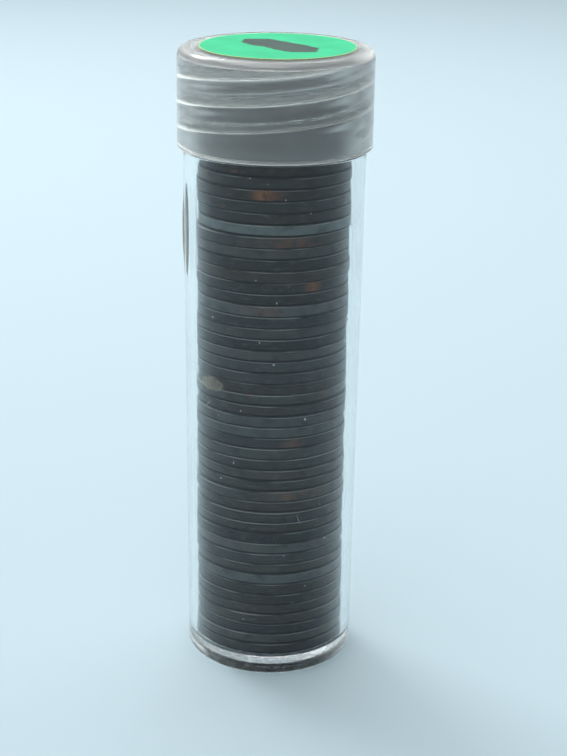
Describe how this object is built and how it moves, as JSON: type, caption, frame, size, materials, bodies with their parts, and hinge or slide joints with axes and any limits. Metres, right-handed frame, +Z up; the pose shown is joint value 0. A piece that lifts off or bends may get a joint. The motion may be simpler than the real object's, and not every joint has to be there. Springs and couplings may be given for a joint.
{
  "type": "coin tube",
  "caption": "Round clear plastic coin tube with a milky screw cap and a paper dot label, filled with a stack of loose coins.",
  "frame": {"origin": "centre of the foot, on the surface that the tube stands on", "axes": "+Z up along the tube's axis towards the cap; -Y faces the picture's camera"},
  "size_m": [0.0242, 0.024, 0.0799],
  "materials": {
    "clear_plastic": "clear, polished",
    "milky_plastic": "translucent, satin",
    "label_paper": "matt",
    "coin_metal": "dull, oxidised zinc coat"
  },
  "bodies": {
    "tube": {"tube": "clear_plastic"},
    "bottom_coin": {"coin_01": "coin_metal"},
    "cap": {"cap": "milky_plastic", "label": "label_paper"},
    "coin_stack": {"coin_02": "coin_metal", "coin_03": "coin_metal", "coin_04": "coin_metal", "coin_05": "coin_metal", "coin_06": "coin_metal", "coin_07": "coin_metal", "coin_08": "coin_metal", "coin_09": "coin_metal", "coin_10": "coin_metal", "coin_11": "coin_metal", "coin_12": "coin_metal", "coin_13": "coin_metal", "coin_14": "coin_metal", "coin_15": "coin_metal", "coin_16": "coin_metal", "coin_17": "coin_metal", "coin_18": "coin_metal", "coin_19": "coin_metal", "coin_20": "coin_metal", "coin_21": "coin_metal", "coin_22": "coin_metal", "coin_23": "coin_metal", "coin_24": "coin_metal", "coin_25": "coin_metal", "coin_26": "coin_metal", "coin_27": "coin_metal", "coin_28": "coin_metal", "coin_29": "coin_metal", "coin_30": "coin_metal", "coin_31": "coin_metal", "coin_32": "coin_metal", "coin_33": "coin_metal", "coin_34": "coin_metal", "coin_35": "coin_metal", "coin_36": "coin_metal", "coin_37": "coin_metal", "coin_38": "coin_metal", "coin_39": "coin_metal", "coin_40": "coin_metal", "coin_41": "coin_metal", "coin_42": "coin_metal", "coin_43": "coin_metal", "coin_44": "coin_metal", "coin_45": "coin_metal", "coin_46": "coin_metal", "coin_47": "coin_metal", "coin_48": "coin_metal", "coin_49": "coin_metal", "coin_50": "coin_metal"}
  },
  "joints": [
    {"name": "cap_turn", "type": "hinge", "parent": "tube", "child": "bottom_coin", "pos_m": [0, 0, 0], "axis": [0, 0, 1], "range_deg": [0, 720]},
    {"name": "cap_rise", "type": "slide", "parent": "bottom_coin", "child": "cap", "axis": [0, 0, 1], "range_m": [0, 0.0125]},
    {"name": "stack_slide", "type": "slide", "parent": "tube", "child": "coin_stack", "axis": [0, 0, 1], "range_m": [0, 0.0041]}
  ],
  "couplings": [
    {"joint": "cap_rise", "follows": "cap_turn", "m_per_rad": 0.00098676}
  ]
}
